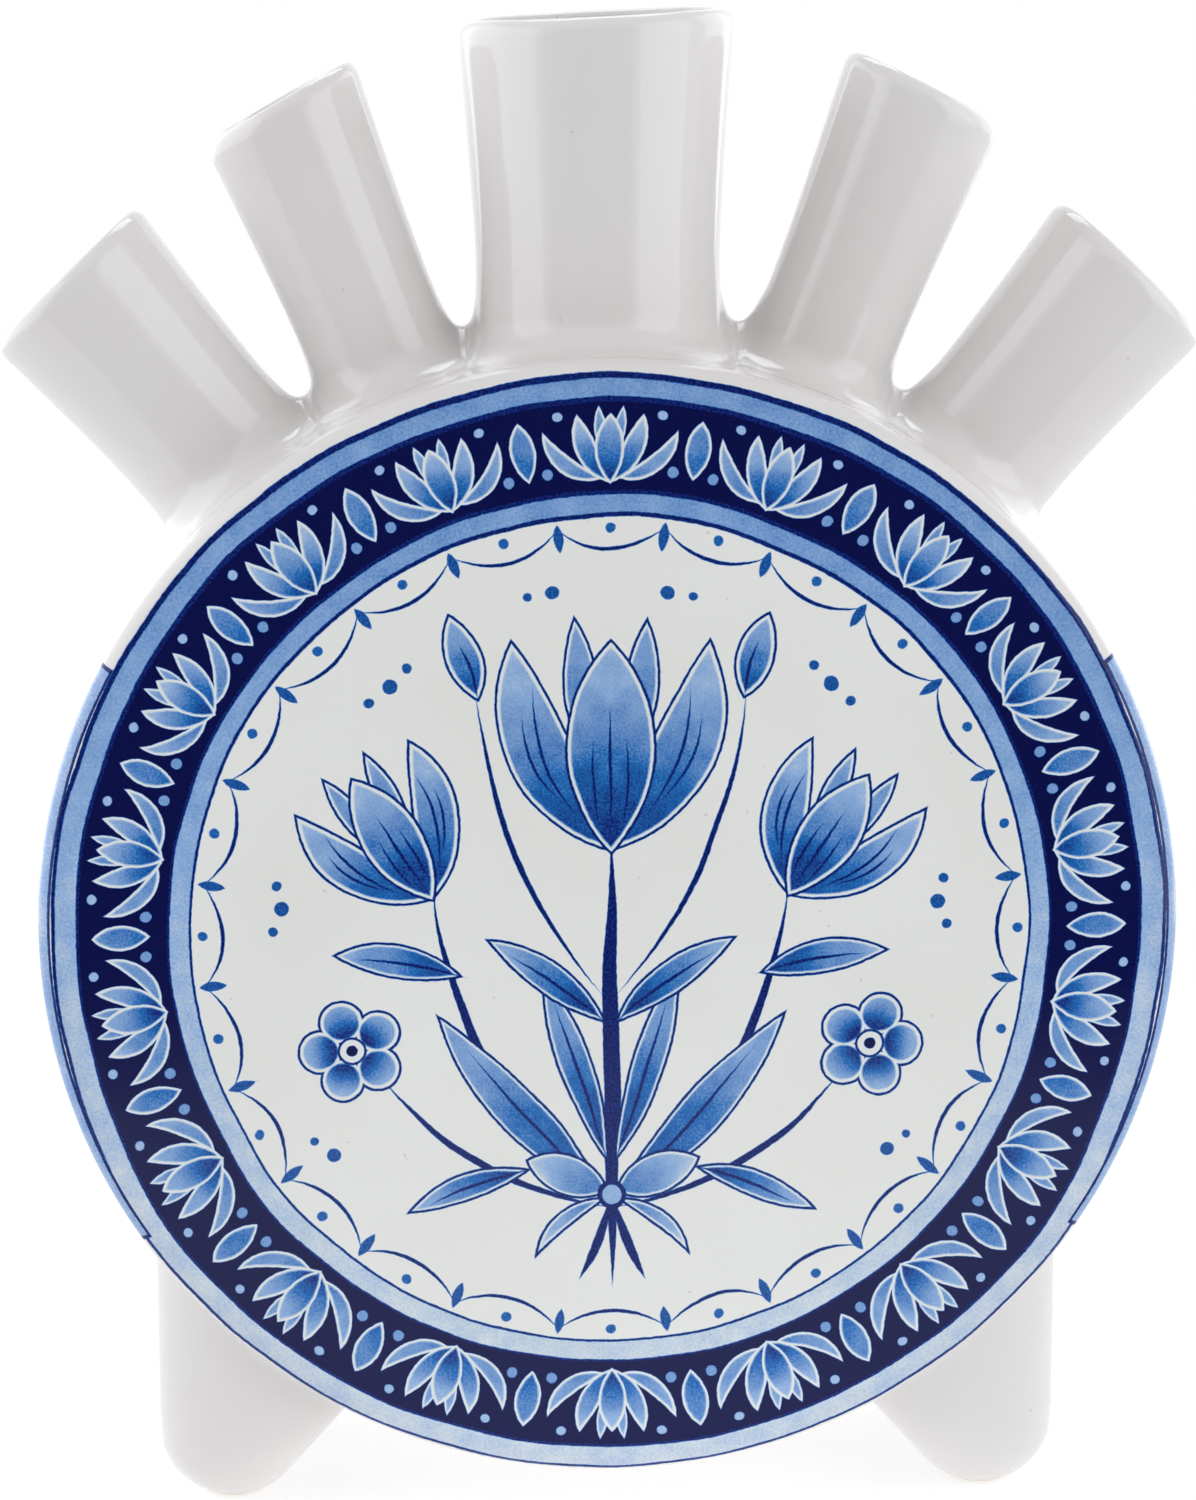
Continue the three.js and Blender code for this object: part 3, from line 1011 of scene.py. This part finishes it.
def paint_face(bench, place):
    """The whole design. Place is in millimetres from the middle of the face."""
    x, y, _ = bench.split(place)
    from_middle = bench.measure("LENGTH", place)
    radius = from_middle - bench.fade(y, -20.0, -58.0, 0.0, 1.3)
    angle = bench.sum("ARCTAN2", x, y)

    page = Drawing(bench, bench.join(abs(x), y, 0.0))
    paint_bouquet(page)

    page.place = wedge(bench, angle, radius, SWAG_REPEATS, SWAG_RADIUS)
    paint_swags(page)

    border = abs(radius - BORDER_MIDDLE) - (RIM_INNER - BORDER_INNER) / 2
    page.lay(border, DEEPEST - page.cloud * 0.06)
    page.place = wedge(bench, angle, radius, BORDER_REPEATS, BORDER_MIDDLE)
    paint_border(page)

    pale = bench.fade(y, -70.0, 80.0, PALE - 0.14, PALE + 0.12) + page.mottle
    for inner, outer in ((FIELD, BORDER_INNER), (RIM_INNER, RIM_OUTER)):
        stripe = abs(radius - (inner + outer) / 2) - (outer - inner) / 2
        page.lay(stripe, pale)
    pressure = bench.fade(y, -10.0, 80.0, 0.55, 1.0)
    lines = ((FIELD, 0.36), (BORDER_INNER, 0.36), (RIM_INNER, 0.45), (RIM_OUTER - 0.2, 0.5))
    for line_radius, half_width in lines:
        page.lay(abs(radius - line_radius) - pressure * half_width, LINE)
    return page


print("borders between", FIELD, "and", RIM_OUTER, "mm")

# %% [markdown]
# ## From ink to colour
#
# Thin cobalt is a clear sky blue, a fuller wash turns royal blue, and where the brush went over twice it
# is almost black. A ramp holds the share of red, green and blue that each density lets through to the
# white ground. Fine noise granulates the pigment before the ramp, because the powder never spreads quite
# evenly in the raw glaze.

# %% Turn ink into cobalt on white
COBALT = (
    (0.00, (1.00, 1.00, 1.00)),
    (0.14, (0.80, 0.89, 0.99)),
    (0.33, (0.36, 0.56, 0.94)),
    (0.63, (0.020, 0.19, 0.62)),
    (0.85, (0.007, 0.030, 0.26)),
    (1.00, (0.0025, 0.0050, 0.080)),
)


def wobble(bench, flat, wander=1.5):
    """Shifts a flat place in millimetres the way a hand-held brush wanders."""
    slow = bench.noise(flat, 0.05, 1.0, out="Color")
    fast = bench.noise(flat, 0.9, 1.0, out="Color")
    slow = (slow - (0.5, 0.5, 0.5)) * (wander, wander, 0.0)
    fast = (fast - (0.5, 0.5, 0.5)) * (0.22, 0.22, 0.0)
    return flat + slow + fast


def cobalt(bench, ink, place, whiter_share=0.0):
    """The painted colour at a place in metres."""
    grain = bench.noise(place, 2600.0, 2.0)
    ink = ink * bench.fade(grain, 0.25, 0.75, 0.87, 1.10)
    through = bench.node("ShaderNodeValToRGB", {0: ink}, stops=COBALT)
    return through * cloudy_white(bench, place, whiter_share)


print("colours in the ramp:", len(COBALT))

# %% [markdown]
# ## The panels down both sides
#
# The narrow side of the drum carries one long panel left and right, from a little above the middle down
# to the feet. Its pale border runs over the rounded edge of the plates, so that a line of it shows beside
# the face. The plates and the ring must agree about it, so both read the same place: millimetres along
# the ring and across it. Reading both without their signs paints four quarters at once.

# %% Paint the side panels
PANEL_MIDDLE = math.radians(-2.45)
PANEL_LENGTH = 98.2
PANEL_START = 0.8
PAINTED_ABOVE = 88.0


def enter_panel(page, x, y, z, radius):
    """Moves the page to a side panel. Returns how far the surface lies outside the panel's edge."""
    bench = page.bench
    bearing = bench.sum("ARCTAN2", z - drum_centre[2], abs(x))
    along = (bearing - PANEL_MIDDLE) * drum_radius
    over_edge = ((abs(y) - (face_y - plate_rounding)) / plate_rounding).most(0.0).least(1.0)
    turn = bench.sum("ARCCOSINE", over_edge)
    from_face = turn * plate_rounding + (face_y - plate_rounding - abs(y)).most(0.0)
    along, from_face, _ = bench.split(wobble(bench, bench.join(along, from_face, 0.0), 0.4))
    page.place = bench.join(abs(along), abs(y), 0.0)
    outside = (abs(along) - PANEL_LENGTH / 2).most(PANEL_START - from_face)
    inside_drum = (PAINTED_ABOVE - radius) * 100
    return outside.most(inside_drum)


def paint_panel_edge(page, outside):
    page.lay(outside, LINE)
    page.lay(outside, PALE + page.mottle, inset=0.7)
    page.lay(outside, LINE, inset=4.7)
    page.lay(outside, 0.0, inset=5.3)


def paint_vine(page):
    page.stroke((9, 0), (41, 0), 0.0, 1.1)
    for a, b, left, right in (
        ((12, 0.2), (24, 15), 2.4, 4.4),
        ((22, 0.2), (33, 12.5), 2.0, 3.8),
        ((31, 0.2), (40, 9), 1.5, 3.0),
        ((37, 0), (43, 0), 1.6, 1.6),
        ((0.5, 0.5), (11, 11), 2.9, 2.9),
        ((0, 0), (0, 17), 3.4, 3.4),
        ((0, 0), (13, 0), 3.2, 3.2),
    ):
        page.petal(a, b, left, right, 0.80, 0.34)
    page.dot(0, 0, 3.0)
    page.dot(0, 0, 2.4, 0.03)
    page.dot(0, 0, 1.2)
    for x, y in ((13, 15.5), (17.5, 18), (30, 17), (36, 14.5)):
        page.dot(x, y, 0.8, 0.75)


print("panels", PANEL_LENGTH, "mm long")

# %% Finish the plates and the side wall


def start_painting(name):
    """A finish and its bench, the place in metres, and in mm the place on the face, x, y, z and radius."""
    material, bench = new_finish(name)
    place = bench.here()
    x, y, z = (value / MM for value in bench.split(place))
    flat = bench.join(x, z - drum_centre[2], 0.0)
    radius = bench.measure("LENGTH", flat)
    return material, bench, place, flat, (x, y, z, radius)


painted_glaze, bench, place, flat, spot = start_painting("painted_glaze")
page = paint_face(bench, wobble(bench, flat))
# A plate's inner side lies at the seam. No brush reaches it, so it stays plain.
page.ink = page.ink * bench.fade(abs(spot[1]), seam_y + 0.5, seam_y + 1.0, 0.0, 1.0)
paint_panel_edge(page, enter_panel(page, *spot))
# The faces' lighter white eases into the body's white over the rounded edge.
whiter_share = bench.fade(spot[3], 85.0, 89.9, 1.0, 0.0)
finish_with_gloss(bench, cobalt(bench, page.ink, place, whiter_share), place, specular=PAINTED_SPECULAR)
for piece in (front_plate, back_plate):
    piece.data.materials.append(painted_glaze)
print("nodes in the painted glaze:", len(painted_glaze.node_tree.nodes))

painted_side, bench, place, flat, spot = start_painting("painted_side")
page = Drawing(bench, flat)
paint_panel_edge(page, enter_panel(page, *spot))
paint_vine(page)
finish_with_gloss(bench, cobalt(bench, page.ink, place), place)
side_wall.data.materials.append(painted_side)
print("nodes in the painted side:", len(painted_side.node_tree.nodes))

# %% [markdown]
# ## The table and the light
#
# The vase stands in a bright white sweep. The camera's own side is dimmer, so the rounded spouts are a
# soft grey in the middle and melt into white at their edges. Two soft boxes set a little behind the vase
# make that melting edge, and two further forward draw long pale reflections down the spouts. Two more,
# behind and above, light only the gloss: they lie behind the white stars under the gaps between the
# spouts, and if they lit the clay as well, the back of the vase would burn out. The one behind is dim,
# because a lamp adds to the white background that a grazing edge mirrors.
#
# The background is white for the camera, for reflections and for clear things alike, whatever light falls
# on it. The table does the same but keeps half of its shading, so the shadow under the vase stays. The
# light that the table scatters is strongest right under the vase, where it fills the inner sides of the
# feet. A dark card hangs beside the lens, for reflections only, so that the deep blues stay deep.

# %% Lay the table


def seen_directly(bench):
    """1 for rays from the camera, a reflection or something clear, and 0 for scattered light."""
    path = bench.node("ShaderNodeLightPath", out="Is Camera Ray").socket.node
    camera_ray, glossy_ray, clear_ray = (
        Wire(bench, path.outputs[name]) for name in ("Is Camera Ray", "Is Glossy Ray", "Is Transmission Ray")
    )
    return camera_ray.most(glossy_ray).most(clear_ray)


TABLE_SEGMENTS = 96
table_radius = 0.42
table_profile = ((table_radius, -0.02), (table_radius, 0.0), (0.2, 0.0), (0.05, 0.0))
table_rings = [
    [(r * math.sin(a), r * math.cos(a), z) for a in angles(TABLE_SEGMENTS)] for r, z in table_profile
]
table = mesh_object("table", *sew([np.array(ring) / MM for ring in table_rings], is_loop=False))
table_finish, bench = new_finish("table_white")
from_middle = bench.measure("LENGTH", bench.here())
is_seen = seen_directly(bench)
matt_white = bench.blend_colour(is_seen, (0.75, 0.75, 0.75, 1), (0.42, 0.42, 0.42, 1))
matt = bench.node("ShaderNodeBsdfDiffuse", {"Color": matt_white})
glow_strength = bench.blend(is_seen, bench.fade(from_middle, 0.04, 0.11, 0.64, 0.13), 0.66)
glow = bench.node("ShaderNodeEmission", {"Color": (1, 1, 1, 1), "Strength": glow_strength})
lit = bench.node("ShaderNodeAddShader", {0: matt, 1: glow})
clear = bench.node("ShaderNodeBsdfTransparent")
edge = bench.fade(from_middle, table_radius * 0.55, table_radius * 0.98)
surface = bench.node("ShaderNodeMixShader", {0: edge, 1: lit, 2: clear})
bench.node("ShaderNodeOutputMaterial", {"Surface": surface})
table.data.materials.append(table_finish)
print("table radius", table_radius, "m")

# %% Hang the dark card
card_corners = [(-1290, -1200, -700), (670, -1200, -700), (670, -1200, 1100), (-1290, -1200, 1100)]
card = mesh_object("dark_card", card_corners, [(0, 1, 2, 3)])
card_finish, bench = new_finish("card_black")
reflected = bench.node("ShaderNodeLightPath", out="Is Glossy Ray")
dark = bench.node("ShaderNodeEmission", {"Color": (1, 1, 1, 1), "Strength": 0.10})
clear = bench.node("ShaderNodeBsdfTransparent")
surface = bench.node("ShaderNodeMixShader", {0: reflected, 1: clear, 2: dark})
bench.node("ShaderNodeOutputMaterial", {"Surface": surface})
card.data.materials.append(card_finish)
print("card:", [round(v, 2) for v in card.dimensions], "m")

# %% Light the room
world = bpy.data.worlds.new("white_room")
scene.world = world
world.use_nodes = True
bench = Bench(world.node_tree)
direction = bench.node("ShaderNodeTexCoord", out="Generated")
depth = bench.split(direction)[1]
room = bench.fade(depth, -0.9, 0.2, 0.58, 0.80)
strength = bench.blend(seen_directly(bench), room, 1.0)
background = bench.node("ShaderNodeBackground", {"Color": (1, 1, 1, 1), "Strength": strength})
bench.node("ShaderNodeOutputWorld", {"Surface": background})


BOX_Z = 0.5
COOL_WHITE = (0.96, 0.98, 1.0)


def soft_light(name, bearing, width, brightness, height=1.3, distance=1.1, z=BOX_Z, is_for_gloss=False):
    """A soft box at a bearing in degrees, to the right of the camera's side. A high one looks down."""
    place = Vector((math.sin(math.radians(bearing)), -math.cos(math.radians(bearing)), 0)) * distance
    place.z = z
    data = bpy.data.lights.new(name, "AREA")
    data.shape = "RECTANGLE"
    data.size = width
    data.size_y = height
    data.energy = brightness * math.pi * width * height
    data.color = COOL_WHITE
    lamp = bpy.data.objects.new(name, data)
    scene.collection.objects.link(lamp)
    lamp.location = place
    lamp.rotation_mode = "QUATERNION"
    lamp.rotation_quaternion = (Vector((0, 0, min(z, BOX_Z))) - place).to_track_quat("-Z", "Y")
    lamp.visible_diffuse = not is_for_gloss


soft_light("left_light", -76, 0.9, 1.5)
soft_light("right_light", 57, 0.9, 1.5)
soft_light("left_rim_light", -118, 0.85, 1.2)
soft_light("right_rim_light", 118, 0.85, 1.2)
soft_light("back_sheen", 180, 3.2, 0.5, is_for_gloss=True)
soft_light("top_sheen", 180, 0.6, 3.5, height=0.5, distance=0.55, z=1.15, is_for_gloss=True)
